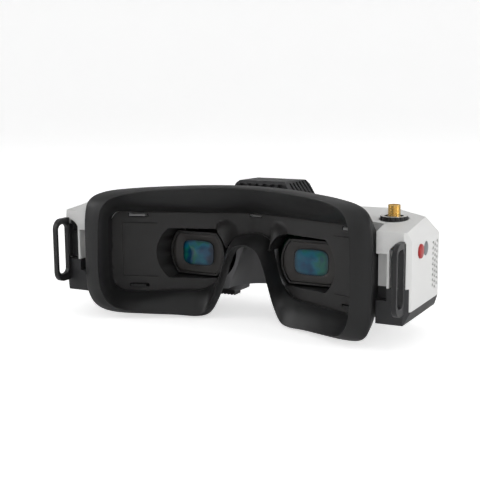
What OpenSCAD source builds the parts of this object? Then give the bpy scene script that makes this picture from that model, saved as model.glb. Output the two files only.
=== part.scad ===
// FPV goggles: a wide, shallow headset with a separate eyepiece for each eye.
// Everything is drawn from the eye line, the point midway between the two lens centres, with +X to
// the wearer's right, +Y the way the wearer looks and +Z up, and is then moved onto the origin,
// which is at the middle of the footprint, at the height of the lowest edge of the faceplate.

/* [Body] */
// Width over the two side faces
body_w = 193.6; // [188:0.2:200]
// Height of the highest line of the top above the eye line
body_top = 29; // [28:0.1:30]
// Depth of the flat underside below the eye line
body_drop = 18.6; // [17:0.1:20]
// Wall thickness of the two shells
wall = 2.2; // [1.8:0.1:2.6]

/* [Optics] */
// Distance between the two pupils that the eyepieces are set for
ipd = 66.6; // [64:0.2:68]
// Radius of the eyepiece rim, which is a circle with a flat above and below
eyepiece_r = 16.6; // [15:0.1:17]
// Height of the eyepiece rim between its flats
eyepiece_h = 23.4; // [20:0.2:25]
// Width of the clear window
window_w = 19.4; // [16:0.2:21]
// Height of the clear window
window_h = 14; // [12:0.2:15]

/* [Faceplate] */
// Thickness of the faceplate wall
face_t = 2.4; // [2:0.1:3]
// Number of straight steps between two neighbouring outline points
face_steps = 4; // [3:1:6]

/* [Controls] */
// Radius of the two side buttons
button_r = 3.4; // [3:0.1:3.8]
// Travel of the two side buttons
button_travel = 0.7; // [0.4:0.1:0.9]
// Radius of the dial around the top antenna connector
dial_r = 6.5; // [6:0.1:6.8]
// Number of finger notches round the dial
dial_notches = 16; // [12:1:24]

/* [Interfaces] */
// Outside radius of the antenna connector's threaded barrel
antenna_r = 3.175; // [3.1:0.025:3.3]
// Radius of the audio socket
audio_r = 1.8; // [1.75:0.01:1.9]
// Height of the strap slot
strap_slot_h = 26.8; // [24:0.2:28]
// Width of the strap slot
strap_slot_w = 8.2; // [6:0.2:8.4]

/* [Hidden] */
$fn = 48;

white = "gainsboro";
black = "dimgray";
grey = "slategray";

// The eye line in the finished frame.
eye_y = 5.25;
eye_z = 32.2;

side_x = body_w / 2;
eye_x = ipd / 2;
split_z = -12.4;        // joint line of the shells along the sides
rear_split_z = -1.7;    // joint line of the shells on the rear faces
rear_y = -35.7;         // rear faces of the two side pods
front_y = 39;
toe = 0.35;             // how fast each half of the inner panel comes back, per mm of width
panel_y = 4.5;          // where the two halves of the inner panel would meet
panel_t = 2;
button_y = [-20.5, -11.7];
button_z = 13.9;
antenna_x = 80.6;
antenna_y = -10.9;
dial_floor = body_top - 3.2;
bay_x = 76;
bay_z = 8;
fan_y = 23;
rail_z = 17;
rail_y = [13, 21];
rail_r = 1;

module frame() {
    translate([0, eye_y, eye_z]) children();
}

// A half outline, listed from the middle of one end round the right side to the middle of the
// other, made whole by its own mirror image.
function whole(half) =
    concat(half, [for (i = [len(half) - 1:-1:0]) if (half[i][0] > 0.001) [-half[i][0], half[i][1]]]);

function right_of(a, b) = [b[1] - a[1], a[0] - b[0]] / norm(b - a);

// A closed outline listed clockwise, with each edge moved inwards by d.
function shrink(pts, d) = [
    for (i = [0:len(pts) - 1])
        let (a = pts[(i + len(pts) - 1) % len(pts)], b = pts[i], c = pts[(i + 1) % len(pts)],
             m = right_of(a, b), n = right_of(b, c))
            b + d * (m + n) / (1 + m * n)];

module slab(x0, x1, y0, y1, z0, z1) {
    translate([x0, y0, z0]) cube([x1 - x0, y1 - y0, z1 - z0]);
}

module both_sides() {
    children();
    mirror([1, 0, 0]) children();
}

// A cylinder along X, from x0 to x1.
module rod_x(r, x0, x1, y, z) {
    translate([x0, y, z]) rotate([0, 90, 0]) cylinder(r = r, h = x1 - x0);
}

// A cylinder along Y, from y0 to y1.
module rod_y(r, y0, y1, x, z) {
    translate([x, y1, z]) rotate([90, 0, 0]) cylinder(r = r, h = y1 - y0);
}

// A cylinder along Z, from z0 to z1.
module rod_z(r, z0, z1, x, y) {
    translate([x, y, z0]) cylinder(r = r, h = z1 - z0);
}

// A flat outline drawn in X and Z, made solid from y0 to y1.
module along_y(y0, y1) {
    translate([0, y1, 0]) rotate([90, 0, 0]) linear_extrude(y1 - y0) children();
}

// A flat outline drawn in Y and Z, made solid from x0 to x1.
module along_x(x0, x1) {
    translate([x0, 0, 0]) rotate([90, 0, 90]) linear_extrude(x1 - x0) children();
}

module rounded(w, h, r) {
    for (x = [-1, 1], z = [-1, 1])
        translate([x * (w / 2 - r), z * (h / 2 - r)]) circle(r);
    square([w, h - 2 * r], center = true);
    square([w - 2 * r, h], center = true);
}

// ---- The body: its plan, its front outline and its side outline, all kept to the same skin.
plan_half = [[0, front_y], [36, front_y], [77, front_y - 10], [90, 20], [side_x, 9], [side_x, -32.7],
             [side_x - 3, rear_y], [80.8, rear_y], [79.4, 6.6 - toe * 79.4], [0, 6.6]];
front_half = [[0, body_top], [side_x - 3.6, body_top], [side_x, body_top - 9.2], [side_x, split_z],
              [side_x - 2.9, -body_drop], [0, -body_drop]];
side_outline = [[rear_y, -body_drop], [rear_y, body_top - 4.7], [10, body_top],
                [front_y - 2.4, body_top - 9.3], [front_y, body_top - 12.7], [front_y, -9],
                [front_y - 6, -body_drop]];

module nose_pocket(grow = 0) {
    r1 = 16 + grow;
    r2 = 4.5 + grow;
    top = 13 + grow;
    translate([0, 6, -body_drop]) cylinder(r1 = r1, r2 = r2, h = top + body_drop);
    along_y(-30, 6) polygon([[-r1, -body_drop], [-r2, top], [r2, top], [r1, -body_drop]]);
}

module body(inset) {
    intersection() {
        linear_extrude(100, center = true) polygon(shrink(whole(plan_half), inset));
        along_y(-60, 60) polygon(shrink(whole(front_half), inset));
        along_x(-120, 120) polygon(shrink(side_outline, inset));
        difference() {
            cube(300, center = true);
            // The bevel across each upper front corner.
            both_sides() rotate([0, 38, 51.3]) translate([-120, -120, 56.3 - inset])
                cube([240, 240, 60]);
        }
    }
}

module skin() {
    difference() {
        body(0);
        difference() {
            body(wall);
            nose_pocket(1.6);
        }
        nose_pocket();
    }
}

// ---- Outline of the inner panel, which the faceplate frames. Right half, bottom to top.
panel_half = [[0, 23.2], [66, 23.2], [72, 22], [74.4, 18.5], [74.8, 4], [74.6, -14], [72, -18.4],
              [66, -19.9], [52, -19.6], [27.5, -18.2], [22.5, -15.6], [18.8, -11.5], [16.2, -5],
              [14.2, 2], [12.4, 7.6], [9.4, 10.8], [5, 12.4], [0, 12.8]];

module panel_outline(grow = 0) {
    polygon(shrink(whole(panel_half), -grow));
}

// The region between two lines that both come back at the toe angle.
module toe_band(y0, y1) {
    linear_extrude(120, center = true)
        polygon([[0, y0], [110, y0 - toe * 110], [110, y1 - toe * 110], [0, y1],
                 [-110, y1 - toe * 110], [-110, y0 - toe * 110]]);
}

// An eyepiece outline: a circle with a flat above and below.
module flat_round(r, h) {
    intersection() {
        circle(r = r, $fn = 72);
        square([60, h], center = true);
    }
}

module eyepiece_hole(grow = 0) {
    for (s = [-1, 1]) {
        translate([s * 29.4, 0.7]) flat_round(17.4 + grow, 27 + 2 * grow);
        translate([s * 34.4, 0.7]) flat_round(17.4 + grow, 27 + 2 * grow);
        translate([s * 31.9, 0.7]) square([5, 27 + 2 * grow], center = true);
    }
}

clip_z = [21.3, -17.2];

module inner_panel() {
    color(black) difference() {
        union() {
            intersection() {
                along_y(-40, 20) panel_outline();
                toe_band(panel_y, panel_y + panel_t);
            }
            // A sleeve round each eyepiece, cut to the panel's face but square next to the nose.
            intersection() {
                along_y(-20, 8.2) intersection() {
                    eyepiece_hole(1.6);
                    panel_outline(-0.6);
                }
                union() {
                    toe_band(panel_y, panel_y + 60);
                    slab(-24, 24, -2.7, 9, -30, 30);
                }
            }
        }
        along_y(-40, 20) eyepiece_hole();
        // A fine groove edges the raised field beside each eyepiece.
        both_sides() intersection() {
            toe_band(panel_y - 1, panel_y + 0.7);
            along_y(-40, 20) difference() {
                translate([58, 2.4]) square([23, 29.6], center = true);
                translate([57, 2.4]) square([23.8, 28.4], center = true);
            }
        }
        // Windows for the faceplate's snap hooks.
        both_sides() {
            for (z = clip_z) slab(56, 66, -40, 20, z - 0.9, z + 0.9);
        }
        slab(-3.8, 3.4, -40, 20, 20.8, 22.3);
    }
}

// ---- Faceplate: three lines round the face opening, given at matching stations of the right half,
// ---- top centre first: the outer edge, the crest that meets the face, and the inner end.
outer_line = [[0, 38.7], [20, 38.4], [40, 37.6], [58, 36.7], [70, 35], [76.8, 30.5], [79.6, 22],
              [80.4, 6], [80.3, -8], [79.2, -17], [75, -25], [67, -29.2], [54, -30.9], [38, -31.6],
              [27, -32], [21.4, -30], [16.8, -22], [13, -12], [10, -3], [6.2, 4.4], [0, 6.8]];
crest_line = [[0, 37.4], [19, 37], [38, 36.2], [54, 34.9], [63.2, 32.4], [67.6, 28], [69.4, 20],
              [70, 5], [70, -8], [69, -16.5], [66, -23.4], [60, -27.8], [50, -29.6], [36.4, -30.4],
              [27, -30.8], [22, -28.8], [17.8, -21.4], [14.3, -11.5], [11.4, -2.4], [7.2, 5.6],
              [0, 8.2]];
inner_line = [[0, 23.5], [18, 23.6], [36, 23.7], [54, 23.7], [69, 23.4], [74.3, 20.7], [75.2, 14],
              [75.4, 3], [75.3, -7.6], [75.1, -14], [72.8, -18.9], [65, -20.4], [52, -20.1],
              [37, -19.2], [27.4, -18.7], [20.6, -14.4], [16.8, -7.4], [14.5, -0.2], [12.2, 7.2],
              [8.6, 11], [0, 12.6]];

function rim_y(x) = -7 - 0.00495 * x * x;
function crest_y(x) = -12 - 0.00606 * x * x;
function inner_y(x) = panel_y - 2.6 - toe * sqrt(x * x + 16);
function tuck(p) = p[1] < 12 && p[0] < 26 ? 0.8 : 3.2;

// A smooth curve through points, sampled between point i and the next.
function spline(p, i, t) =
    let (n = len(p), b = p[i], c = p[i + 1], a = i == 0 ? [-c[0], c[1]] : p[i - 1],
         d = i + 2 > n - 1 ? [-b[0], b[1]] : p[i + 2])
    0.5 * (2 * b + (c - a) * t + (2 * a - 5 * b + 4 * c - d) * t * t
        + (3 * b - a - 3 * c + d) * t * t * t);
function sampled(p) = concat(
    [for (i = [0:len(p) - 2], k = [0:face_steps - 1]) spline(p, i, k / face_steps)],
    [p[len(p) - 1]]);

// One cross-section of the faceplate, as points round its wall, from the crest inwards.
function face_section(o, c, e) =
    let (out = (o - e) / norm(o - e), oy = rim_y(o[0]), cy = crest_y(c[0]), ey = inner_y(e[0]),
         f = e + face_t * out, k = tuck(e))
    [[c[0], cy, c[1]],
     [(c[0] + 2 * e[0]) / 3, (cy + ey) / 2 - 0.4, (c[1] + 2 * e[1]) / 3],
     [e[0], ey, e[1]],
     [e[0], ey + k, e[1]],
     [f[0], ey + k, f[1]],
     [f[0] + 0.5 * out[0], ey, f[1] + 0.5 * out[1]],
     [(o[0] + f[0]) / 2, (oy + ey) / 2 + 2.4, (o[1] + f[1]) / 2],
     [o[0] - 0.4 * out[0], oy + 1.4, o[1] - 0.4 * out[1]],
     [o[0], oy, o[1]],
     [(o[0] + c[0]) / 2 + 0.6 * out[0], (oy + cy) / 2 - 0.7, (o[1] + c[1]) / 2 + 0.6 * out[1]]];

module faceplate() {
    o = sampled(outer_line);
    c = sampled(crest_line);
    e = sampled(inner_line);
    half = [for (i = [0:len(o) - 1]) face_section(o[i], c[i], e[i])];
    rings = concat(half, [for (i = [len(half) - 2:-1:1]) [for (p = half[i]) [-p[0], p[1], p[2]]]]);
    n = len(rings);
    m = len(rings[0]);
    color(black) polyhedron(
        [for (r = rings, p = r) p],
        [for (i = [0:n - 1], j = [0:m - 1], h = [0, 1])
            let (a = i * m + j, b = ((i + 1) % n) * m + j, c1 = ((i + 1) % n) * m + (j + 1) % m,
                 d = i * m + (j + 1) % m)
            h == 0 ? [a, b, c1] : [a, c1, d]]);
}

// Snap hooks that hold the faceplate to the inner panel, two above, two below, one in the middle.
module faceplate_clips() {
    color(grey) {
        both_sides()
            for (z = clip_z)
                intersection() {
                    slab(57, 65, -40, 10, z - 0.6, z + 0.6);
                    toe_band(panel_y - 1.2, panel_y + panel_t);
                }
        slab(-2.8, 2.8, 3.4, 5.6, 21.1, 21.9);
    }
}

// ---- Shells.
module visor_region(grow = 0) {
    slab(-60 - grow, 60 + grow, 27 - grow, 60, -40, 15.4 + grow);
}

module bay_region(grow = 0) {
    slab(66 - grow, 86 + grow, 16 - grow, 60, -6 - grow, 15.4 + grow);
}

module rear_low_wall() {
    both_sides() slab(76, 100, -60, rear_y + wall, -40, rear_split_z);
}

module nose_wall() {
    slab(-22.2, 22.2, -12, 25.6, -40, 14.6);
}

// The opening behind the inner panel, with a rebate that the panel drops into.
module rear_opening() {
    along_y(-60, 16) panel_outline(-1.8);
    intersection() {
        along_y(-60, 16) panel_outline(0.4);
        toe_band(-40, panel_y + panel_t + 0.2);
    }
}

// The step beside the faceplate in the back of each pod.
module rear_step(grow = 0) {
    both_sides() slab(60, 85.9 + grow, rear_y - 1, rear_y + 4.2 + grow, -7.6 - grow, 14.1 + grow);
}

module rear_step_liner() {
    intersection() {
        rear_step(1.5);
        body(0);
    }
}

// The arch that the root of the strap loop comes out through.
module loop_arch(grow = 0) {
    both_sides() {
        slab(87.1 - grow, 94.6 + grow, rear_y - 1, rear_y + 3, rear_split_z - 0.1, 13 + grow);
        intersection() {
            slab(87.1 - grow, 94.6 + grow, rear_y - 1, rear_y + 3, 12, 21);
            rod_y(6.6 + grow, rear_y - 1, rear_y + 3, 93, 13);
        }
    }
}

// Staggered slots that let heat out of each side.
module side_vents() {
    for (s = [-1, 1], row = [0:8], col = [0:2])
        translate([s * side_x, -0.2 + 3.2 * col, 14.8 - 2.6 * row - (col % 2) * 1.3])
            cube([8, 2.2, 1.4], center = true);
}

post_xy = [[66, -5], [60, 21]];

module upper_shell() {
    color(white) difference() {
        union() {
            difference() {
                intersection() {
                    skin();
                    slab(-120, 120, -60, 60, split_z, 60);
                }
                rear_low_wall();
                nose_wall();
                visor_region();
                bay_region(0.2);
                intersection() {
                    rear_step(1.5);
                    slab(-120, 120, -60, 60, -60, rear_split_z);
                }
            }
            intersection() {
                rear_step_liner();
                slab(-120, 120, -60, 60, rear_split_z, 60);
            }
            intersection() {
                both_sides()
                    for (p = post_xy) rod_z(2.5, -14, body_top, p[0], p[1]);
                body(1);
            }
            for (x = [-10.2, 10.2], y = [-10.2, 10.2]) rod_z(1.8, 19.6, body_top, x, fan_y + y);
            // The seat of the dial, which is also its bearing.
            rod_z(dial_r + 2.4, dial_floor - 1.8, dial_floor + 0.05, antenna_x, antenna_y);
        }
        rear_opening();
        rear_step();
        loop_arch();
        rod_z(11.6, 15, 60, 0, fan_y);
        rod_z(dial_r + 0.7, dial_floor, 60, antenna_x, antenna_y);
        rod_z(5.26, 0, 60, antenna_x, antenna_y);
        for (y = button_y) rod_x(button_r + 0.08, 90, 120, y, button_z);
        side_vents();
        both_sides()
            for (p = post_xy) rod_z(0.85, -20, 0, p[0], p[1]);
        // Openings for the sockets in the left side.
        rod_x(4.3, -120, -90, -20.5, 13.9);
        rod_x(3, -120, -90, -20.5, 2.6);
        slab(-120, -90, -27.3, -15.7, -8.9, -4.7);
        slab(-120, -90, -10.4, 2, -10.6, -8.6);
    }
}

// A lip that closes the gap below the inner panel, behind the flange of the faceplate.
module panel_lip() {
    difference() {
        intersection() {
            along_y(-60, 20) panel_outline(1.7);
            toe_band(panel_y + 0.9, panel_y + panel_t + 2.4);
            slab(-80, 80, -60, 20, -40, -16.6);
        }
        intersection() {
            along_y(-60, 20) panel_outline(0.3);
            toe_band(-40, panel_y + panel_t + 0.1);
        }
    }
}

// The raised seat that each thumb slider runs on.
module slider_seat() {
    both_sides() translate([26, 20, -22]) linear_extrude(4.4) rounded(21.6, 15.6, 4);
}

module lower_shell() {
    color(black) difference() {
        union() {
            intersection() {
                skin();
                union() {
                    slab(-120, 120, -60, 60, -60, split_z);
                    rear_low_wall();
                    nose_wall();
                }
            }
            intersection() {
                rear_step_liner();
                slab(-120, 120, -60, 60, -60, rear_split_z);
            }
            both_sides()
                for (p = post_xy) rod_z(3.4, -body_drop + 1, -14.6, p[0], p[1]);
            panel_lip();
            slider_seat();
        }
        difference() {
            rear_opening();
            slab(-120, 120, -60, 60, -60, -16.4);
        }
        rear_step();
        visor_region();
        along_y(-20, 9) eyepiece_hole(0.2);
        along_y(-20, 8.4) intersection() {
            eyepiece_hole(1.8);
            panel_outline(-0.3);
        }
        // Slots that the stems of the thumb sliders run in.
        for (s = [-1, 1]) slab(s * 26 - 4.7, s * 26 + 4.7, 17.2, 22.8, -40, -14);
        both_sides()
            for (p = post_xy) {
                rod_z(1.1, -40, 0, p[0], p[1]);
                rod_z(2.1, -40, -body_drop + 1.8, p[0], p[1]);
            }
    }
}

module front_visor() {
    color("darkslategray") intersection() {
        skin();
        visor_region(-0.2);
    }
}

module receiver_cover() {
    color(black) difference() {
        intersection() {
            skin();
            bay_region();
        }
        rod_y(5.6, 0, 60, bay_x, bay_z);
    }
}

// ---- Fan housing on top.
fan_front = [[-27, 15], [-14.6, 38.2], [-13.2, 39.4], [13.2, 39.4], [14.6, 38.2], [27, 15]];
fan_side = [[8, 15], [8.6, 37.6], [10.2, 39.4], [34.4, 38.4], [37, 36], [39.6, 15]];

module fan_cover() {
    color(black) difference() {
        intersection() {
            along_y(0, 50) polygon(fan_front);
            along_x(-40, 40) polygon(fan_side);
        }
        intersection() {
            along_y(0, 50) polygon(shrink(fan_front, 1.4));
            along_x(-40, 40) polygon(shrink(fan_side, 1.4));
        }
        body(0);
        slab(-40, 40, 0, 50, 10, 21);
        for (i = [-2.5:2.5]) slab(4.5 * i - 1.2, 4.5 * i + 1.2, 0, 9.9, 33, 37.9);
        for (i = [0:5])
            along_x(-40, 40) translate([13 + 3.9 * i, 0])
                polygon([[2.4, 31], [0, 38.2], [1.9, 38.2], [4.3, 31]]);
    }
}

module fan_frame() {
    color(black) difference() {
        slab(-12.5, 12.5, fan_y - 12.5, fan_y + 12.5, body_top, body_top + 6.2);
        rod_z(11.6, body_top + 1, 40, 0, fan_y);
        difference() {
            rod_z(11.6, body_top - 1, body_top + 2, 0, fan_y);
            rod_z(5, body_top - 2, body_top + 3, 0, fan_y);
            for (a = [30, 150, 270])
                translate([0, fan_y, body_top - 2]) rotate([0, 0, a])
                    translate([0, -0.8, 0]) cube([13, 1.6, 5]);
        }
        rod_z(0.8, 20, 40, 0, fan_y);
        for (x = [-10.2, 10.2], y = [-10.2, 10.2]) rod_z(1.3, 20, 40, x, fan_y + y);
    }
}

module fan_rotor() {
    color(grey) translate([0, fan_y, body_top - 28.3]) {
        rod_z(4.6, 29.6, 34.2, 0, 0);
        rod_z(0.75, 28.5, 30, 0, 0);
        intersection() {
            for (a = [0:7])
                rotate([0, 0, 45 * a]) translate([7.6, 0, 31.9]) rotate([38, 0, 0])
                    cube([7.4, 0.7, 5.8], center = true);
            rod_z(11.1, 29.8, 34.1, 0, 0);
        }
    }
}

// ---- Strap loops.
module loop(side) {
    color(black) difference() {
        union() {
            intersection() {
                along_x(side > 0 ? 92.2 : -94.6, side > 0 ? 94.6 : -92.2) {
                    translate([-41.7, 3.75]) rounded(11.2, 33.5, 5.5);
                    translate([-38.9, 3.75]) square([5.6, 33.5], center = true);
                }
                slab(-120, 120, -60, -36, -20, 24);
            }
            slab(side > 0 ? 91.7 : -94.1, side > 0 ? 94.1 : -91.7, -37, -32.75, 0, 17);
            slab(side > 0 ? 87.6 : -94.4, side > 0 ? 94.4 : -87.6, rear_y + 1.6, rear_y + 2.6, -1, 13);
            slab(side > 0 ? 87.9 : -93.3, side > 0 ? 93.3 : -87.9, -33, -25.6, -1.5, 19.9);
        }
        along_x(-120, 120) translate([-41.6, 4.2]) rounded(strap_slot_w, strap_slot_h, 3);
        rod_x(0.85, side > 0 ? 80 : -93, side > 0 ? 93 : -80, -27.7, 8);
    }
}

module strap_loop_left() {
    loop(-1);
}

module strap_loop_right() {
    loop(1);
}

// ---- Optics. Everything that slides with one eye is drawn on the eye line and placed by at_eye.
module at_eye(side) {
    translate([side * eye_x, 0, 0]) children();
}

module eyepiece() {
    difference() {
        union() {
            along_y(-1.8, 3) flat_round(eyepiece_r, eyepiece_h);
            along_y(3, 23.4) flat_round(eyepiece_r - 1.6, eyepiece_h - 1.8);
            slab(-6, 6, 10.4, 23.4, 9, rail_z + 2.4);
        }
        along_y(-3, -0.2) flat_round(eyepiece_r - 1.1, eyepiece_h - 2.2);
        along_y(-3, 30) flat_round(eyepiece_r - 3.2, eyepiece_h - 4.8);
        for (y = rail_y) rod_x(rail_r + 0.05, -10, 10, y, rail_z);
        slab(-8, 8, 14.8, 19.2, 12.4, 30);
        rod_z(0.9, -20, 0, -6, 20);
    }
}

module eyepiece_left() {
    color(black) at_eye(-1) mirror([1, 0, 0]) eyepiece();
}

module eyepiece_right() {
    color(black) at_eye(1) eyepiece();
}

module window_mask() {
    along_y(-1.1, -0.2) difference() {
        flat_round(eyepiece_r - 1.25, eyepiece_h - 2.5);
        rounded(window_w, window_h, 3);
    }
}

module window_mask_left() {
    color(grey) at_eye(-1) window_mask();
}

module window_mask_right() {
    color(grey) at_eye(1) window_mask();
}

// A thick lens with a flange that sits behind the mask and a raised face that fills the window.
module lens() {
    along_y(-0.2, 3.4) flat_round(eyepiece_r - 3.35, eyepiece_h - 5.1);
    along_y(-0.8, 1) rounded(window_w - 0.5, window_h - 0.5, 2.8);
}

module lens_left() {
    color("lightseagreen") at_eye(-1) lens();
}

module lens_right() {
    color("lightseagreen") at_eye(1) lens();
}

module field_lens() {
    along_y(9, 12) flat_round(eyepiece_r - 3.35, eyepiece_h - 5.1);
}

module field_lens_left() {
    color("lightseagreen") at_eye(-1) field_lens();
}

module field_lens_right() {
    color("lightseagreen") at_eye(1) field_lens();
}

module display() {
    slab(-9.6, 9.6, 21, 22.6, -7.6, 7.6);
}

module display_left() {
    color(grey) at_eye(-1) display();
}

module display_right() {
    color(grey) at_eye(1) display();
}

module display_board() {
    difference() {
        union() {
            slab(-15, 15, 23.5, 24.7, -10.6, 10.6);
            slab(-9.4, 9.4, 22.6, 23.5, -7.4, 7.4);
            slab(-7, 7, 24.7, 26.6, -9.8, -6.8);
        }
        for (x = [-13, 13], z = [-8.6, 8.6]) rod_y(0.9, 20, 30, x, z);
    }
}

module display_board_left() {
    color("seagreen") at_eye(-1) display_board();
}

module display_board_right() {
    color("seagreen") at_eye(1) display_board();
}

// The thumb slider under each eyepiece, on a stem that comes up through the underside.
module ipd_knob() {
    difference() {
        union() {
            slab(-12.9, -2.7, 16.4, 23.6, -25.8, -22.3);
            slab(-7.8, -4.2, 17.6, 22.4, -22.4, -eyepiece_h / 2 + 0.9);
        }
        for (i = [0:4]) slab(-12.4 + 2.1 * i, -11.5 + 2.1 * i, 14, 27, -27, -25.1);
        rod_z(0.7, -18, 0, -6, 20);
    }
}

module ipd_knob_left() {
    color(black) at_eye(-1) mirror([1, 0, 0]) ipd_knob();
}

module ipd_knob_right() {
    color(black) at_eye(1) ipd_knob();
}

module ipd_rails() {
    color("silver")
        for (y = rail_y) rod_x(rail_r, -55, 55, y, rail_z);
}

// The blocks that hold the rails: one at each end and one between the eyes.
module rail_blocks() {
    color(black) difference() {
        intersection() {
            union() {
                for (x = [-54.5, 54.5]) slab(x - 2, x + 2, 10, 24, 14.6, body_top);
                slab(-3, 3, 10, 24, 15, body_top);
            }
            body(wall);
        }
        for (y = rail_y) rod_x(rail_r + 0.02, -60, 60, y, rail_z);
        rod_z(11.6, 19.4, 60, 0, fan_y);
    }
}

// ---- Circuit boards.
module main_board() {
    color("seagreen") difference() {
        slab(-46, 46, 30, 31.6, -12, 17);
        for (x = [-43, 43], z = [-9, 14]) rod_y(1.3, 20, 40, x, z);
    }
}

module board_chips() {
    color("dimgray") {
        slab(-9, 9, 31.6, 33.2, -6, 12);
        for (x = [-30, -18, 22]) slab(x - 5, x + 5, 31.6, 32.6, 0, 9);
        slab(20, 40, 31.6, 34.2, -11, -6);
    }
}

module receiver_board() {
    color("seagreen") slab(85.2, 86.8, -24.6, 10, -10, 18.2);
}

module receiver_shield() {
    color("silver") slab(86.8, 90.4, -4, 9, -7, 15);
}

module power_board() {
    color("seagreen") slab(-86.8, -85.2, -25, 10, -12, 19);
}

// ---- Antenna connectors and the dial.
module top_antenna_connector() {
    color("goldenrod") difference() {
        union() {
            rod_z(antenna_r, 18, 33.6, antenna_x, antenna_y);
            slab(antenna_x - 4.5, antenna_x + 4.6, antenna_y - 4.5, antenna_y + 4.5, 12, 18.2);
        }
        rod_z(2.35, 19, 40, antenna_x, antenna_y);
    }
}

module front_antenna_connector() {
    color("goldenrod") difference() {
        union() {
            rod_y(antenna_r, 22, 37.5, bay_x, bay_z);
            slab(bay_x - 4.5, bay_x + 4.5, 16, 22.2, bay_z - 4.5, bay_z + 4.5);
        }
        rod_y(2.35, 23, 40, bay_x, bay_z);
    }
}

module antenna_insulators() {
    color("white") {
        difference() {
            rod_z(2.3, 19, 32, antenna_x, antenna_y);
            rod_z(0.7, 18, 40, antenna_x, antenna_y);
        }
        difference() {
            rod_y(2.3, 23, 36, bay_x, bay_z);
            rod_y(0.7, 20, 40, bay_x, bay_z);
        }
    }
}

module antenna_contacts() {
    color("goldenrod") {
        rod_z(0.65, 19.1, 32.6, antenna_x, antenna_y);
        rod_y(0.65, 23.1, 36.6, bay_x, bay_z);
    }
}

module channel_dial() {
    color(white) translate([antenna_x, antenna_y, 0]) difference() {
        union() {
            rod_z(dial_r, dial_floor + 0.2, body_top - 0.7, 0, 0);
            rod_z(5.2, 21.2, dial_floor + 1, 0, 0);
        }
        rod_z(4.6, 10, 60, 0, 0);
        for (i = [0:dial_notches - 1])
            rotate([0, 0, 360 * i / dial_notches])
                rod_z(0.5, dial_floor, 60, dial_r + 0.1, 0, $fn = 16);
    }
}

module dial_encoder() {
    color(grey) difference() {
        intersection() {
            slab(antenna_x - 6, antenna_x + 6, antenna_y - 7, antenna_y + 7, 19, dial_floor - 1.8);
            body(wall + 0.1);
        }
        rod_z(5.5, 10, 40, antenna_x, antenna_y);
        slab(antenna_x + 5.2, 100, -22, 4, 10, 19.4);
    }
}

// ---- Side buttons and the switches behind them.
module side_button(y, proud) {
    rod_x(button_r + 0.9, 92.6, 93.8, y, button_z);
    rod_x(button_r, 93, side_x + proud - 0.5, y, button_z);
    translate([side_x + proud - 0.5, y, button_z]) rotate([0, 90, 0])
        cylinder(r1 = button_r, r2 = button_r - 1, h = 0.5);
}

module side_switch(y) {
    slab(86.8, 91, y - 3, y + 3, button_z - 3, button_z + 3);
    rod_x(1.7, 90.5, 92.5 - button_travel, y, button_z);
}

module record_button() {
    color("firebrick") side_button(button_y[0], 1.2);
}

module record_switch() {
    color(grey) side_switch(button_y[0]);
}

module power_button() {
    color(grey) side_button(button_y[1], 0.4);
}

module power_switch() {
    color(grey) side_switch(button_y[1]);
}

// ---- Sockets in the left side.
module power_jack() {
    color(black) difference() {
        union() {
            rod_x(4.1, -96.4, -92, -20.5, 13.9);
            slab(-93.6, -86.8, -25, -16, 9.4, 18.4);
        }
        rod_x(2.75, -100, -88, -20.5, 13.9);
    }
}

module power_pin() {
    color("silver") rod_x(1.05, -95.2, -88, -20.5, 13.9);
}

module audio_jack() {
    color(black) difference() {
        union() {
            rod_x(2.8, -96.4, -92, -20.5, 2.6);
            slab(-93.6, -86.8, -23.6, -17.4, -0.6, 5.8);
        }
        rod_x(audio_r, -100, -88, -20.5, 2.6);
    }
}

module video_socket() {
    color("silver") difference() {
        slab(-96.2, -86.8, -27.1, -15.9, -8.7, -4.9);
        slab(-100, -89, -26.6, -16.4, -8.2, -5.4);
    }
    color(black) slab(-95, -88.8, -25.4, -17.6, -7.2, -6.4);
}

module card_slot() {
    color("silver") difference() {
        slab(-96.2, -86.8, -10.2, 1.8, -10.4, -8.8);
        slab(-100, -88, -9.8, 1.4, -10, -9.2);
    }
}

// ---- Screws.
module shell_screws() {
    color("silver")
        both_sides()
            for (p = post_xy) difference() {
                union() {
                    rod_z(1.9, -body_drop + 0.3, -body_drop + 1.75, p[0], p[1]);
                    rod_z(0.8, -body_drop + 1, -4, p[0], p[1]);
                }
                for (a = [0, 90])
                    translate([p[0], p[1], -body_drop + 0.3]) rotate([0, 0, a])
                        cube([2.2, 0.5, 1.2], center = true);
            }
}

module loop_screws() {
    color("silver")
        both_sides() {
            rod_x(1.7, 86.7, 87.9, -27.7, 8);
            rod_x(0.8, 87, 92.6, -27.7, 8);
        }
}

frame() upper_shell();
frame() lower_shell();
frame() front_visor();
frame() receiver_cover();
frame() fan_cover();
frame() faceplate();
frame() faceplate_clips();
frame() inner_panel();
frame() strap_loop_left();
frame() strap_loop_right();
frame() ipd_rails();
frame() rail_blocks();
frame() main_board();
frame() board_chips();
frame() receiver_board();
frame() receiver_shield();
frame() power_board();
frame() fan_frame();
frame() fan_rotor();
frame() top_antenna_connector();
frame() front_antenna_connector();
frame() antenna_insulators();
frame() antenna_contacts();
frame() channel_dial();
frame() dial_encoder();
frame() record_button();
frame() record_switch();
frame() power_button();
frame() power_switch();
frame() power_jack();
frame() power_pin();
frame() audio_jack();
frame() video_socket();
frame() card_slot();
frame() shell_screws();
frame() loop_screws();
frame() eyepiece_left();
frame() eyepiece_right();
frame() window_mask_left();
frame() window_mask_right();
frame() lens_left();
frame() lens_right();
frame() field_lens_left();
frame() field_lens_right();
frame() display_left();
frame() display_right();
frame() display_board_left();
frame() display_board_right();
frame() ipd_knob_left();
frame() ipd_knob_right();
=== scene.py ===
import math

import bmesh
import bpy
import numpy as np
from mathutils import Matrix, Vector
from mathutils.geometry import delaunay_2d_cdt


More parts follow.
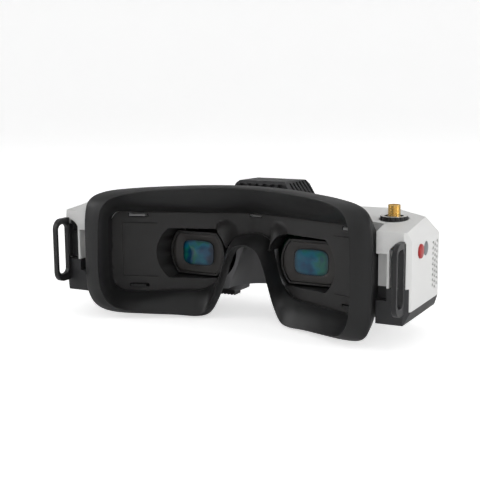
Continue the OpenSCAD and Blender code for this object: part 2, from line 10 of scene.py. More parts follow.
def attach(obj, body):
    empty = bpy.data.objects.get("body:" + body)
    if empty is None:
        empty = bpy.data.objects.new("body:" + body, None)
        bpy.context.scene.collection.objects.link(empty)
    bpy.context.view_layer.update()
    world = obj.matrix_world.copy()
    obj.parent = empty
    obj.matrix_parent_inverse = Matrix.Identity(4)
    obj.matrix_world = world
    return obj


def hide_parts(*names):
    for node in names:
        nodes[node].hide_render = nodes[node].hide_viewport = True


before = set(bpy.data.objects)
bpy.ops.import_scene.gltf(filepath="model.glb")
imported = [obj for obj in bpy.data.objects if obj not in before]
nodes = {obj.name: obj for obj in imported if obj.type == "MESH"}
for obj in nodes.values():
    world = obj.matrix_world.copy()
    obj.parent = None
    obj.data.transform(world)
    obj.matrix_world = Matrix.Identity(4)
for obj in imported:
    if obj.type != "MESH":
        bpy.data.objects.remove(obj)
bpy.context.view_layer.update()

# ---- Studio. A round pale table with its rim swept up so that no corner shows behind the goggles,
# a broad soft box overhead, one by the wearer's right shoulder, one on the left, and an even pale
# surround. The camera stands behind the wearer's right shoulder, a little above eye height.


EYE_Y = 5.25
EYE_Z = 32.2


def at(x, y, z):
    """A point measured in millimetres from the eye line, as a place in the frame."""
    return Vector((x, y + EYE_Y, z + EYE_Z)) / 1000


def skin_over(name, rings, closed=True, capped=False, looped=False):
    """A mesh piece skinned over rings of points, all with the same number of points."""
    count = len(rings[0])
    faces = []
    for i in range(len(rings) if looped else len(rings) - 1):
        here, there = i * count, (i + 1) % len(rings) * count
        for j in range(count if closed else count - 1):
            after = (j + 1) % count
            faces.append((here + j, here + after, there + after, there + j))
    if capped:
        faces.append(tuple(range(count))[::-1])
        faces.append(tuple(range((len(rings) - 1) * count, len(rings) * count)))
    mesh = bpy.data.meshes.new(name)
    mesh.from_pydata([tuple(p) for ring in rings for p in ring], [], faces)
    mesh.polygons.foreach_set("use_smooth", [True] * len(mesh.polygons))
    piece = bpy.data.objects.new(name, mesh)
    bpy.context.scene.collection.objects.link(piece)
    return piece


def circle_of(radius, height, steps=72):
    """A level ring of points."""
    turns = [math.tau * k / steps for k in range(steps)]
    return [(radius * math.cos(a), radius * math.sin(a), height) for a in turns]


TABLE_DROP = 0.0004
sweep = [(0.02, 0), (0.4, 0), (1.6, 0), (2.0, 0.03), (2.3, 0.14), (2.5, 0.34), (2.56, 0.7)]
table_rings = [circle_of(r, z - TABLE_DROP) for r, z in sweep][::-1]
table = skin_over("studio_table", table_rings, capped=True)
table_paint = bpy.data.materials.new("studio_paper")
table_paint.use_nodes = True
paper = table_paint.node_tree.nodes["Principled BSDF"]
paper.inputs["Base Color"].default_value = (0.86, 0.86, 0.86, 1)
paper.inputs["Roughness"].default_value = 0.9
paper.inputs["Emission Color"].default_value = (1, 1, 1, 1)
bounce = table_paint.node_tree.nodes.new("ShaderNodeLightPath")
lift = table_paint.node_tree.nodes.new("ShaderNodeMapRange")
lift.inputs["To Min"].default_value = 0.05
lift.inputs["To Max"].default_value = 0.62
table_paint.node_tree.links.new(bounce.outputs["Is Camera Ray"], lift.inputs["Value"])
table_paint.node_tree.links.new(lift.outputs["Result"], paper.inputs["Emission Strength"])
table.data.materials.append(table_paint)

surround = bpy.data.worlds.new("studio_surround")
surround.use_nodes = True
surround.node_tree.nodes["Background"].inputs["Color"].default_value = (1, 1, 1, 1)
surround.node_tree.nodes["Background"].inputs["Strength"].default_value = 0.30
bpy.context.scene.world = surround
bpy.context.scene.view_settings.view_transform = "Standard"


def soft_box(name, place, width, power):
    """A square soft box that looks at the middle of the goggles."""
    lamp = bpy.data.lights.new(name, "AREA")
    lamp.shape = "SQUARE"
    lamp.size = width
    lamp.energy = power
    stand = bpy.data.objects.new(name, lamp)
    stand.location = place
    aim = Vector((0, 0, 0.03)) - Vector(place)
    stand.rotation_euler = aim.to_track_quat("-Z", "Y").to_euler()
    bpy.context.scene.collection.objects.link(stand)


soft_box("overhead_box", (0.10, 0.10, 0.95), 0.8, 15)
soft_box("right_box", (1.15, 0.05, 0.50), 0.7, 6.5)
soft_box("shoulder_box", (0.75, -0.95, 0.55), 0.6, 2.2)
soft_box("left_box", (-0.9, -0.6, 0.5), 0.5, 2.6)

CAMERA_PLACE = (233, -457, 95.2)
CAMERA_TURN, CAMERA_DIP, CAMERA_ROLL = 27.81, 9.51, -0.5
view = bpy.data.cameras.new("camera")
view.sensor_width = 36
view.lens = 74.25
camera = bpy.data.objects.new("camera", view)
camera.matrix_world = (
    Matrix.Translation(at(*CAMERA_PLACE))
    @ Matrix.Rotation(math.radians(CAMERA_TURN), 4, "Z")
    @ Matrix.Rotation(math.radians(90 - CAMERA_DIP), 4, "X")
    @ Matrix.Rotation(math.radians(CAMERA_ROLL), 4, "Z")
)
bpy.context.scene.collection.objects.link(camera)
bpy.context.scene.camera = camera

# ---- Upper shell: the white top and the two side pods, one injection moulding in white ABS with a
# fine spark-eroded texture. It closes on the lower shell and is held by four screws from below.


def blank(name):
    """A new finish, and two short hands: one adds a node, the other joins two."""
    finish = bpy.data.materials.new(name)
    finish.use_nodes = True
    tree = finish.node_tree

    def add(kind, **values):
        node = tree.nodes.new("ShaderNode" + kind)
        for key in sorted(values, key=lambda word: word[0].isupper()):
            if key[0].isupper():
                node.inputs[key.replace("_", " ")].default_value = values[key]
            else:
                setattr(node, key, values[key])
        return node

    def join(start, out, end, into):
        tree.links.new(start.outputs[out], end.inputs[into])

    return finish, tree.nodes["Principled BSDF"], add, join


def tint(colour, share=1.0, lift=0.0):
    """A colour made darker or paler."""
    return tuple(min(1, c * share + lift) for c in colour) + (1,)


def between(add, join, factor, out, first, second):
    """A colour mixed from two by a factor; either colour may be a node's own result."""
    mix = add("Mix", data_type="RGBA")
    join(factor, out, mix, 0)
    for socket, colour in ((6, first), (7, second)):
        if isinstance(colour, tuple):
            mix.inputs[socket].default_value = colour
        else:
            join(colour, 2, mix, socket)
    return mix


def moulded(name, colour, rough, worn=0.25, grain=3200, relief=0.012, drift=0.10, rounding=0.35):
    """Injection-moulded plastic: faint flow marks, a fine eroded grain in the surface and in its
    sheen, corners softened by the tool's polish and rubbed a little paler by handling."""
    finish, shader, add, join = blank(name)
    place = add("TexCoord")
    flow = add("TexNoise", Scale=46.0, Detail=4.0, Roughness=0.55)
    tooth = add("TexNoise", Scale=float(grain), Detail=2.0, Roughness=0.6)
    haze = add("TexNoise", Scale=240.0, Detail=5.0, Roughness=0.65)
    for pattern in (flow, tooth, haze):
        join(place, "Object", pattern, "Vector")
    tone = between(add, join, flow, 0, tint(colour, 1 - drift), tint(colour, 1 + drift, 0.002))
    bent = add("Bevel", samples=6, Radius=rounding / 1000)
    face = add("NewGeometry")
    turn = add("VectorMath", operation="DOT_PRODUCT")
    join(bent, "Normal", turn, 0)
    join(face, "Normal", turn, 1)
    edge = add("MapRange", From_Min=0.99, From_Max=0.86, To_Max=worn)
    join(turn, "Value", edge, "Value")
    rub = add("Math", operation="MULTIPLY")
    join(edge, "Result", rub, 0)
    join(haze, 0, rub, 1)
    final = between(add, join, rub, 0, tone, tint(colour, 1.7, 0.03))
    join(final, 2, shader, "Base Color")
    sheen = add("MapRange", To_Min=rough - 0.06, To_Max=rough + 0.07)
    join(haze, 0, sheen, "Value")
    join(sheen, "Result", shader, "Roughness")
    press = add("Bump", Strength=1.0, Distance=relief / 1000)
    join(tooth, 0, press, "Height")
    join(bent, "Normal", press, "Normal")
    join(press, "Normal", shader, "Normal")
    return finish, shader, add, join, final


def dress(finish, *names):
    """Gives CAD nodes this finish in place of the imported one."""
    for name in names:
        mesh = nodes[name].data
        mesh.materials.clear()
        mesh.materials.append(finish)


def soften(name, width, angle=32, segments=2):
    """Rounds the sharp corners of a CAD node, as the polish of its mould does."""
    piece = nodes[name]
    mesh = piece.data
    if "custom_normal" in mesh.attributes:
        mesh.attributes.remove(mesh.attributes["custom_normal"])
    mesh.polygons.foreach_set("use_smooth", [True] * len(mesh.polygons))
    for spare in ("sharp_edge", "sharp_face"):
        if spare in mesh.attributes:
            mesh.attributes.remove(mesh.attributes[spare])
    piece.modifiers.new("weld", "WELD").merge_threshold = 0.000002
    flat = piece.modifiers.new("flat", "DECIMATE")
    flat.decimate_type = "DISSOLVE"
    flat.angle_limit = math.radians(0.6)
    corner = piece.modifiers.new("corner", "BEVEL")
    corner.width = width / 1000
    corner.segments = segments
    corner.limit_method = "ANGLE"
    corner.angle_limit = math.radians(angle)
    corner.miter_outer = "MITER_ARC"
    corner.use_clamp_overlap = True
    even = piece.modifiers.new("even", "WEIGHTED_NORMAL")
    even.keep_sharp = False
    even.weight = 80


white_abs = moulded("white_abs", (0.80, 0.80, 0.79), 0.42, worn=0.05, drift=0.02)[0]
dress(white_abs, "upper_shell")
soften("upper_shell", 0.7)

# ---- Channel dial: a white ring with finger notches round the top connector. Every face of it that
# does not face up is painted near-black: painted shade for its shadowed notched side wall.
dial_ring, shader, add, join, final = moulded("dial_ring", (0.80, 0.80, 0.79), 0.40, drift=0.02)
stood = add("NewGeometry")
split = add("SeparateXYZ")
join(stood, "True Normal", split, "Vector")
level = add("MapRange", From_Min=0.55, From_Max=0.75)
join(split, "Z", level, "Value")
# Painted shade: faces of the dial that do not face up are mixed toward near-black.
SIDE_SHADE_BLACK = (0.012, 0.012, 0.012, 1)
sides_painted_shade = between(add, join, level, "Result", SIDE_SHADE_BLACK, final)
join(sides_painted_shade, 2, shader, "Base Color")
dress(dial_ring, "channel_dial")

# ---- Lower shell, fan housing and receiver cover: charcoal ABS, moulded with the same texture as
# the white shell. The fan housing is glued over the fan, and the receiver cover pulls off
# forwards. The pocket for the nose is painted a paler grey than the rest of the lower shell:
# painted light, standing in for light that the faceplate keeps from it.
POCKET_SIDE = (0.0150, 0.0225)
POCKET_TOP = (0.044, 0.052)
POCKET_PAINTED_GREY = (0.20, 0.20, 0.205, 1)
charcoal_abs, shader, add, join, final = moulded(
    "charcoal_abs", (0.026, 0.026, 0.028), 0.46, worn=0.3
)
shader.inputs["Specular IOR Level"].default_value = 0.4
place = add("TexCoord")
split = add("SeparateXYZ")
join(place, "Object", split, "Vector")
aside = add("Math", operation="ABSOLUTE")
join(split, "X", aside, 0)
beside = add("MapRange", From_Min=POCKET_SIDE[0], From_Max=POCKET_SIDE[1], To_Min=1, To_Max=0)
join(aside, "Value", beside, "Value")
below = add("MapRange", From_Min=POCKET_TOP[0], From_Max=POCKET_TOP[1], To_Min=1, To_Max=0)
join(split, "Z", below, "Value")
pocket = add("Math", operation="MULTIPLY")
join(beside, "Result", pocket, 0)
join(below, "Result", pocket, 1)
# Painted light: the nose pocket is mixed toward a paler grey.
pocket_lit_paler = between(add, join, pocket, "Value", final, POCKET_PAINTED_GREY)
join(pocket_lit_paler, 2, shader, "Base Color")
dress(charcoal_abs, "lower_shell", "fan_cover", "receiver_cover")
soften("lower_shell", 0.5)
soften("fan_cover", 0.35)
soften("receiver_cover", 0.5)

# ---- Front visor: a smoked, polished acrylic front that fills the opening between the shells. It
# lies flush with their skin, with a fine gap all round.
visor_gloss, shader = moulded(
    "visor_gloss", (0.008, 0.009, 0.012), 0.12, worn=0.05, relief=0.001
)[:2]
shader.inputs["Coat Weight"].default_value = 0.8
shader.inputs["Coat Roughness"].default_value = 0.04
dress(visor_gloss, "front_visor")
soften("front_visor", 0.8)

# ---- Faceplate: the deep black frame that meets the face, moulded in a matt elastomer-coated
# plastic. Its wall runs from a rounded rim round the face to the inner panel, to which it clips.
FACE_OUTER = [
    (0, 38.7), (20, 38.4), (40, 37.6), (58, 36.7), (70.8, 35.2), (77.8, 31.3), (80, 23),
    (80.4, 6), (80.4, -8), (79.7, -18), (76.2, -26), (68.6, -30), (54, -31.1), (38, -31.6),
    (27, -32), (21.4, -30), (16.8, -22), (13, -12), (10, -3), (6.2, 4.4), (0, 6.8),
]
FACE_CREST = [
    (0, 37.4), (19, 37), (38, 36.2), (54, 34.9), (63.2, 32.4), (67.6, 28), (69.4, 20),
    (70, 5), (70, -8), (69, -16.5), (66, -23.4), (60, -27.8), (50, -29.6), (36.4, -30.4),
    (27, -30.8), (22, -28.8), (17.8, -21.4), (14.3, -11.5), (11.4, -2.4), (7.2, 5.6), (0, 8.2),
]
FACE_INNER = [
    (0, 23.5), (18, 23.6), (36, 23.7), (54, 23.7), (69, 23.4), (74.3, 20.7), (75.2, 14),
    (75.4, 3), (75.3, -7.6), (75.1, -14), (72.8, -18.9), (65, -20.4), (52, -20.1),
    (37, -19.2), (27.4, -18.7), (20.6, -14.4), (16.8, -7.4), (14.5, -0.2), (12.2, 7.2),
    (8.6, 11), (0, 12.6),
]
FACE_WALL = 2.4
FACE_STEPS = 10
RIM_Y, RIM_BOW = -7, 0.00495
CREST_Y, CREST_BOW = -12, 0.00606
PANEL_Y, PANEL_TOE = 4.5, 0.35
FLANGE_STAND = 2.6


def smooth_line(points, steps):
    """A smooth curve through the points of one half of a mirrored outline, sampled in equal steps
    between each two neighbours."""
    found = []
    last = len(points) - 1
    for i in range(last):
        b, c = Vector(points[i]), Vector(points[i + 1])
        before = Vector(points[i - 1]) if i else Vector((-c.x, c.y))
        after = Vector(points[i + 2]) if i + 2 <= last else Vector((-b.x, b.y))
        for k in range(steps):
            t = k / steps
            found.append(
                0.5 * (2 * b + (c - before) * t + (2 * before - 5 * b + 4 * c - after) * t * t
                       + (3 * b - before - 3 * c + after) * t ** 3)
            )
    return found + [Vector(points[-1])]


def eased_corners(points, reaches, steps=4):
    """A closed path through corners, each turned in a curve that starts its own reach away."""
    path = []
    for i, (corner, reach) in enumerate(zip(points, reaches)):
        before, after = points[i - 1] - corner, points[(i + 1) % len(points)] - corner
        start = corner + before.normalized() * min(reach, before.length * 0.48)
        stop = corner + after.normalized() * min(reach, after.length * 0.48)
        for k in range(steps + 1):
            t = k / steps
            path.append(start * (1 - t) ** 2 + corner * 2 * t * (1 - t) + stop * t * t)
    return path


def flange_depth(end):
    """How far the flange runs on toward the panel: least beside the nose, clear of an eyepiece."""
    if end.y > 12 or end.x > 26:
        return 3.2
    return 1.9 if end.y < -12 else 0.8


def face_section(rim, crest, end):
    """The faceplate's wall at one station: its rim, the crest that meets the face, the funnel in
    to the flange beside the panel, and back along the outside."""
    out = (rim - end).normalized()
    rim_y = RIM_Y - RIM_BOW * rim.x ** 2
    crest_y = CREST_Y - CREST_BOW * crest.x ** 2
    end_y = PANEL_Y - FLANGE_STAND - PANEL_TOE * math.sqrt(end.x ** 2 + 16)
    tuck = flange_depth(end)
    back = end + FACE_WALL * out
    middle = (rim + crest) / 2 + 0.3 * out
    corners = (
        (rim, rim_y, 1.3), (middle, (rim_y + crest_y) / 2 - 0.7, 3), (crest, crest_y, 0.5),
        ((crest + 2 * end) / 3, (crest_y + end_y) / 2 - 0.4, 8), (end, end_y, 0.6),
        (end, end_y + tuck, 0.3), (back, end_y + tuck, 0.3), (back + 0.5 * out, end_y, 1),
        ((rim + back) / 2, (rim_y + end_y) / 2 + 2.4, 8), (rim - 0.4 * out, rim_y + 1.4, 0.6),
    )
    path = eased_corners([Vector((p.x, y, p.y)) for p, y, _ in corners], [r for _, _, r in corners])
    return [at(*point) for point in path]


outlines = (FACE_OUTER, FACE_CREST, FACE_INNER)
rims, crests, ends = (smooth_line(line, FACE_STEPS) for line in outlines)
half = [face_section(*three) for three in zip(rims, crests, ends)]
other = [[Vector((-p.x, p.y, p.z)) for p in ring] for ring in half[-2:0:-1]]
faceplate = skin_over("face_frame", half + other, looped=True)
faceplate.data.set_sharp_from_angle(angle=math.radians(50))
shaded = faceplate.modifiers.new("shaded", "WEIGHTED_NORMAL")
shaded.keep_sharp = True
shaded.weight = 80
soft_black, shader = moulded(
    "soft_black", (0.0092, 0.0092, 0.0096), 0.42, worn=0.12, relief=0.008, drift=0.16, rounding=0.3
)[:2]
shader.inputs["Specular IOR Level"].default_value = 0.45
shader.inputs["Sheen Weight"].default_value = 0.04
faceplate.data.materials.append(soft_black)
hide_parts("faceplate")
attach(faceplate, "housing")

# ---- Snap hooks of the faceplate: moulded tabs that catch in the panel's windows. The upper ones
# are painted light grey and the lower ones black: painted light above and painted shade below.
HOOK_SHADE_BLACK = (0.010, 0.010, 0.010, 1)
clip_grey, shader, add, join, final = moulded("clip_grey", (0.22, 0.22, 0.22), 0.45, worn=0.2)
place = add("TexCoord")
split = add("SeparateXYZ")
join(place, "Object", split, "Vector")
upper = add("MapRange", From_Min=0.030, From_Max=0.034)
join(split, "Z", upper, "Value")
# Painted light and shade: hooks above mid-height keep the light grey, those below are painted
# near-black.
hooks_lit_and_shaded = between(add, join, upper, "Result", HOOK_SHADE_BLACK, final)
join(hooks_lit_and_shaded, 2, shader, "Base Color")
dress(clip_grey, "faceplate_clips")

# ---- Inner panel: the dark panel behind the eyepieces, moulded in black ABS with a matt grain and
# set in a rebate in the shells. It swells up round each eyepiece on the nose side, carries a fine
# groove beside each, and has windows for the faceplate's snap hooks.
PANEL_EDGE = [
    (0, 23.7), (66.2, 23.7), (72.3, 22.6), (75, 18.7), (75.4, 4), (75.2, -14.2), (72.4, -18.9),
    (66.1, -20.5), (52, -20.2), (27.3, -18.8), (22.1, -16.1), (18.3, -11.8), (15.6, -5.1),
    (13.6, 1.8), (12, 7.2), (9.1, 10.3), (4.9, 11.8), (0, 12.2),
]
PANEL_WINDOWS = [(56, 66, 20.4, 22.2), (56, 66, -18.1, -16.3), (-3.8, 3.4, 20.8, 22.3)]
PANEL_STEP = 1.4
GRID_STEP = 1.3
OPENING_R, OPENING_FLAT, OPENING_Z = 17.4, 13.5, 0.7
OPENING_X, OPENING_SHIFT = 31.9, 2.5
COLLAR_REACH, COLLAR_Y, SLEEVE_Y = 4.5, -2.7, 8.0
SWELL_X, SWELL_Z, SWELL_HALF, SWELL_R, SWELL_HEIGHT = 15.2, 8, 5.5, 4.9, 5.4
GROOVE_IN, GROOVE_OUT, GROOVE_TOP, GROOVE_FOOT = 51, 69.3, 17, -12.1
GROOVE_HALF, GROOVE_DEPTH = 0.32, 0.5


def closed_by_mirror(half_line):
    """A closed line made from its right half."""
    return half_line + [(-x, z) for x, z in half_line[::-1] if x > 0]


def corners_cut(points, times=2):
    """Every corner of a closed line cut back, again and again, until it is round."""
    for _ in range(times):
        cut = []
        for i, a in enumerate(points):
            b = points[(i + 1) % len(points)]
            share = min(0.25, 0.9 / max(0.01, math.dist(a, b)))
            cut.append((a[0] + (b[0] - a[0]) * share, a[1] + (b[1] - a[1]) * share))
            cut.append((b[0] + (a[0] - b[0]) * share, b[1] + (a[1] - b[1]) * share))
        points = cut
    return points


def divided(points, longest, closed=True):
    """A line with no stretch longer than this."""
    found = []
    for i in range(len(points) if closed else len(points) - 1):
        a, b = points[i], points[(i + 1) % len(points)]
        count = max(1, math.ceil(math.dist(a, b) / longest))
        found += [(a[0] + (b[0] - a[0]) * k / count, a[1] + (b[1] - a[1]) * k / count)
                  for k in range(count)]
    return found if closed else found + [points[-1]]


def eye_opening(side):
    """The opening that an eyepiece slides across: two arcs with a flat above and below."""
    turn = math.asin(OPENING_FLAT / OPENING_R)
    arc = [-turn + 2 * turn * k / 28 for k in range(29)]
    far, near = OPENING_X + OPENING_SHIFT, OPENING_X - OPENING_SHIFT
    right = [(far + OPENING_R * math.cos(a), OPENING_Z + OPENING_R * math.sin(a)) for a in arc]
    left = [(near - OPENING_R * math.cos(a), OPENING_Z - OPENING_R * math.sin(a)) for a in arc]
    return [(side * x, z) for x, z in right + left]


def off_opening(x, z):
    """How far a point of the panel is outside the nearer eye opening."""
    past_centre = np.maximum(0, np.abs(np.abs(x) - OPENING_X) - OPENING_SHIFT)
    round_way = np.hypot(past_centre, z - OPENING_Z) - OPENING_R
    flat_way = np.abs(z - OPENING_Z) - OPENING_FLAT
    both = np.hypot(np.maximum(0, round_way), np.maximum(0, flat_way))
    return np.where((round_way > 0) & (flat_way > 0), both, np.maximum(round_way, flat_way))


def panel_depth(x, z):
    """How deep the panel's face lies: two halves toed back from the middle, smooth between, drawn
    up to a level collar round each eye opening, with a swelling above the nose side of each."""
    face = PANEL_Y - PANEL_TOE * np.sqrt(x * x + 4)
    near = np.clip(1 - off_opening(x, z) / COLLAR_REACH, 0, 1)
    collar = face + (np.minimum(face, COLLAR_Y) - face) * near * near * (3 - 2 * near)
    off_swell = np.hypot(np.abs(x) - SWELL_X, np.maximum(0, np.abs(z - SWELL_Z) - SWELL_HALF))
    near = np.clip(1.3 - off_swell / SWELL_R, 0, 1)
    return collar - SWELL_HEIGHT * near * near * (3 - 2 * near)


def inside_line(x, z, line):
    """Whether points are inside a closed line."""
    found = np.zeros(len(x), bool)
    for (ax, az), (bx, bz) in zip(line, line[1:] + line[:1]):
        if az != bz:
            found ^= ((az > z) != (bz > z)) & (x < (bx - ax) * (z - az) / (bz - az) + ax)
    return found


def on_panel(x, z):
    """Whether points lie inside the panel's edge and outside its openings and windows."""
    found = inside_line(x, z, edge_line)
    for hole in holes:
        found &= ~inside_line(x, z, hole)
    return found


edge_line = divided(corners_cut(closed_by_mirror(PANEL_EDGE)), PANEL_STEP)
holes = [eye_opening(1), eye_opening(-1)]
for x0, x1, z0, z1 in PANEL_WINDOWS:
    for side in (1, -1) if x0 > 0 else (1,):
        holes.append([(side * x, z) for x, z in ((x0, z0), (x1, z0), (x1, z1), (x0, z1))])
holes = [divided(hole, PANEL_STEP) for hole in holes]
grooves = []
for side in (1, -1):
    for gap in (-GROOVE_HALF, 0, GROOVE_HALF):
        top, foot, out = GROOVE_TOP + gap, GROOVE_FOOT - gap, GROOVE_OUT + gap
        bend = [(GROOVE_IN - 0.2, top), (out, top), (out, foot), (GROOVE_IN, foot)]
        grooves.append([(side * x, z) for x, z in divided(bend, PANEL_STEP, closed=False)])

# Every line of the panel is tied into one flat net of triangles, with a grid between the lines.
lines = [(edge_line, True)] + [(hole, True) for hole in holes]
lines += [(groove, False) for groove in grooves]
spots, ties, floor_of_groove = [], [], set()
for line, closed in lines:
    start = len(spots)
    if line in grooves[1::3]:
        floor_of_groove |= {(round(x, 3), round(z, 3)) for x, z in line[1:-1]}
    spots += line
    ties += [(start + k, start + k + 1) for k in range(len(line) - 1)]
    if closed:
        ties.append((len(spots) - 1, start))
lined = np.array(spots)
grid = np.array([(GRID_STEP * i, GRID_STEP * j) for i in range(-58, 59) for j in range(-16, 19)])
clear = np.min(np.linalg.norm(grid[:, None] - lined[None], axis=2), axis=1) > 0.75
clear &= on_panel(grid[:, 0], grid[:, 1])
spots += [tuple(p) for p in grid[clear]]
flat, _, tiles, *_ = delaunay_2d_cdt([Vector(p) for p in spots], ties, [], 0, 0.001)
flat = np.array([tuple(p) for p in flat])
middles = flat[np.array(tiles)].mean(axis=1)
kept = on_panel(middles[:, 0], middles[:, 1])
depth = panel_depth(flat[:, 0], flat[:, 1])
for i, (x, z) in enumerate(flat):
    if (round(float(x), 3), round(float(z), 3)) in floor_of_groove:
        depth[i] += GROOVE_DEPTH

# The net is raised to its depth, and a sleeve is drawn in from the rim of each eye opening.
panel_mesh = bpy.data.meshes.new("eye_panel")
build = bmesh.new()
corners = [build.verts.new(at(x, y, z)) for (x, z), y in zip(flat, depth)]
for tile, keep in zip(tiles, kept):
    if keep:
        face = build.faces.new([corners[i] for i in tile])
        face.normal_update()
        if face.normal.y > 0:
            face.normal_flip()
loose = [v for v in build.verts if not v.link_faces]
bmesh.ops.delete(build, geom=loose, context="VERTS")
around_eyes = []
for e in [e for e in build.edges if e.is_boundary]:
    places = [(v.co.x * 1000, v.co.z * 1000 - EYE_Z) for v in e.verts]
    if all(abs(float(off_opening(np.array(x), np.array(z)))) < 0.06 for x, z in places):
        around_eyes.append(e)
sleeve = bmesh.ops.extrude_edge_only(build, edges=around_eyes)
for v in sleeve["geom"]:
    if isinstance(v, bmesh.types.BMVert):
        v.co.y = at(0, SLEEVE_Y, 0).y
bmesh.ops.recalc_face_normals(build, faces=build.faces)
if sum(f.normal.y * f.calc_area() for f in build.faces) > 0:
    bmesh.ops.reverse_faces(build, faces=build.faces)
build.to_mesh(panel_mesh)
build.free()
panel = bpy.data.objects.new("eye_panel", panel_mesh)
bpy.context.scene.collection.objects.link(panel)
panel_mesh.polygons.foreach_set("use_smooth", [True] * len(panel_mesh.polygons))
wall = panel.modifiers.new("wall", "SOLIDIFY")
wall.thickness = 0.0016
wall.offset = -1
rounded = panel.modifiers.new("rounded", "BEVEL")
rounded.width = 0.00035
rounded.segments = 2
rounded.limit_method = "ANGLE"
rounded.angle_limit = math.radians(50)
panel_mesh.set_sharp_from_angle(angle=math.radians(38))
panel_black, shader = moulded(
    "panel_black", (0.030, 0.029, 0.029), 0.52, worn=0.2, relief=0.016, drift=0.12
)[:2]
shader.inputs["Specular IOR Level"].default_value = 0.4
panel_mesh.materials.append(panel_black)
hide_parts("inner_panel")
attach(panel, "housing")

# ---- Eyepieces: round-sided barrels with a flat above and below, moulded in black, each sliding
# on two rails. A dished mask with a window closes the barrel in front of the lens.
EYE_OUT = 33.3
AROUND = 96
MASK_R, MASK_H = 15.3, 20.85
WINDOW_W, WINDOW_H = 19.2, 13.8
barrel_black = moulded(
    "barrel_black", (0.024, 0.023, 0.022), 0.40, worn=0.25, relief=0.008
)[0]
dress(barrel_black, "eyepiece_left", "eyepiece_right", "ipd_knob_left", "ipd_knob_right")
for side in ("left", "right"):
    soften("eyepiece_" + side, 0.35)
    soften("ipd_knob_" + side, 0.35)


def round_flat(radius, height, y, x0):
    """A circle with a flat above and below, standing across the line of sight."""
    ring = []
    for k in range(AROUND):
        a = math.tau * k / AROUND
        r = min(radius, height / 2 / max(1e-6, abs(math.sin(a))))
        ring.append(at(x0 + r * math.cos(a), y, r * math.sin(a)))
    return ring


def bowed_window(width, height, y, x0, power=4.2):
    """A rectangle with rounded corners and bowed sides, standing across the line of sight."""
    ring = []
    for k in range(AROUND):
        a = math.tau * k / AROUND
        c, s = abs(math.cos(a)) / (width / 2), abs(math.sin(a)) / (height / 2)
        r = (c ** power + s ** power) ** (-1 / power)
        ring.append(at(x0 + r * math.cos(a), y, r * math.sin(a)))
    return ring


def toward(first, second, share, y):
    """A ring part of the way from one ring to another, moved to another depth."""
    ring = [a.lerp(b, share) for a, b in zip(first, second)]
    return [Vector((p.x, at(0, y, 0).y, p.z)) for p in ring]


mask_black = moulded(
    "mask_black", (0.028, 0.025, 0.023), 0.34, worn=0.15, relief=0.004, drift=0.14
)[0]
for side, name in ((-1, "left"), (1, "right")):
    x0 = side * EYE_OUT
    rim = round_flat(MASK_R, MASK_H, -1.35, x0)
    edge = bowed_window(WINDOW_W, WINDOW_H, -0.5, x0)
    rings = [round_flat(MASK_R, MASK_H, -0.22, x0), rim]
    for share, y in ((0.12, -1.45), (0.3, -1.35), (0.5, -1.15), (0.7, -0.95), (0.88, -0.8)):
        rings.append(toward(rim, edge, share, y))
    rings += [edge, bowed_window(WINDOW_W, WINDOW_H, -0.22, x0)]
    mask = skin_over("eyepiece_mask_" + name, rings, looped=True)
    mask.data.set_sharp_from_angle(angle=math.radians(50))
    mask.data.materials.append(mask_black)
    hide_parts("window_mask_" + name)
    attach(mask, name + "_eyepiece")

# ---- Lenses: a thick moulded lens behind each window, its front crowned and vacuum-coated, so it
# shows a deep blue-green, and a second lens deeper in the barrel.
LENS_R, LENS_H, LENS_BACK, LENS_STEP = 13.2, 18.2, 3.35, -0.18
CROWN_W, CROWN_H, CROWN_EDGE, CROWN_RISE = 18.8, 13.4, -0.62, 0.75
RIM_BLUE = (0.002, 0.012, 0.03, 1)
coated, shader, add, join = blank("coated_glass")
place = add("TexCoord")
split = add("SeparateXYZ")
join(place, "Object", split, "Vector")
across = add("Math", operation="ABSOLUTE")
join(split, "X", across, 0)


def reach(source, out, centre, half):
    """How far out a point lies along one way of the window: 0 at its middle, 1 at its edge."""
    shifted = add("Math", operation="SUBTRACT")
    join(source, out, shifted, 0)
    shifted.inputs[1].default_value = centre
    scaled = add("Math", operation="DIVIDE")
    join(shifted, "Value", scaled, 0)
    scaled.inputs[1].default_value = half
    grown = add("Math", operation="POWER")
    absolute = add("Math", operation="ABSOLUTE")
    join(scaled, "Value", absolute, 0)
    join(absolute, "Value", grown, 0)
    grown.inputs[1].default_value = 4
    return grown


wide = reach(across, "Value", EYE_OUT / 1000, 0.0095)
tall = reach(split, "Z", EYE_Z / 1000, 0.0068)
rim = add("Math", operation="ADD")
join(wide, "Value", rim, 0)
join(tall, "Value", rim, 1)
spread = add("TexNoise", Scale=95.0, Detail=2.5, Roughness=0.5)
ripple = add("TexNoise", Scale=260.0, Detail=3.0, Roughness=0.5)
for pattern in (spread, ripple):
    join(place, "Object", pattern, "Vector")
ramp = add("ValToRGB")
bands = [(0.34, (0.001, 0.020, 0.055)), (0.45, (0.001, 0.070, 0.15)), (0.54, (0.001, 0.13, 0.20)),
         (0.63, (0.003, 0.14, 0.10)), (0.72, (0.001, 0.05, 0.12))]
stops = ramp.color_ramp.elements
stops[0].position, stops[1].position = bands[0][0], bands[-1][0]
for stop, _ in bands[1:-1]:
    stops.new(stop)
for element, (_, colour) in zip(stops, bands):
    element.color = (*colour, 1)
join(spread, 0, ramp, "Fac")
shade = add("MapRange", From_Min=0.35, From_Max=1.0)
join(rim, "Value", shade, "Value")
tinted = add("Mix", data_type="RGBA")
join(shade, "Result", tinted, 0)
join(ramp, "Color", tinted, 6)
tinted.inputs[7].default_value = RIM_BLUE
join(tinted, 2, shader, "Base Color")
dust = add("MapRange", To_Min=0.05, To_Max=0.13)
join(ripple, 0, dust, "Value")
join(dust, "Result", shader, "Roughness")
shader.inputs["Coat Weight"].default_value = 0.25
shader.inputs["Coat Roughness"].default_value = 0.03
shader.inputs["IOR"].default_value = 1.45
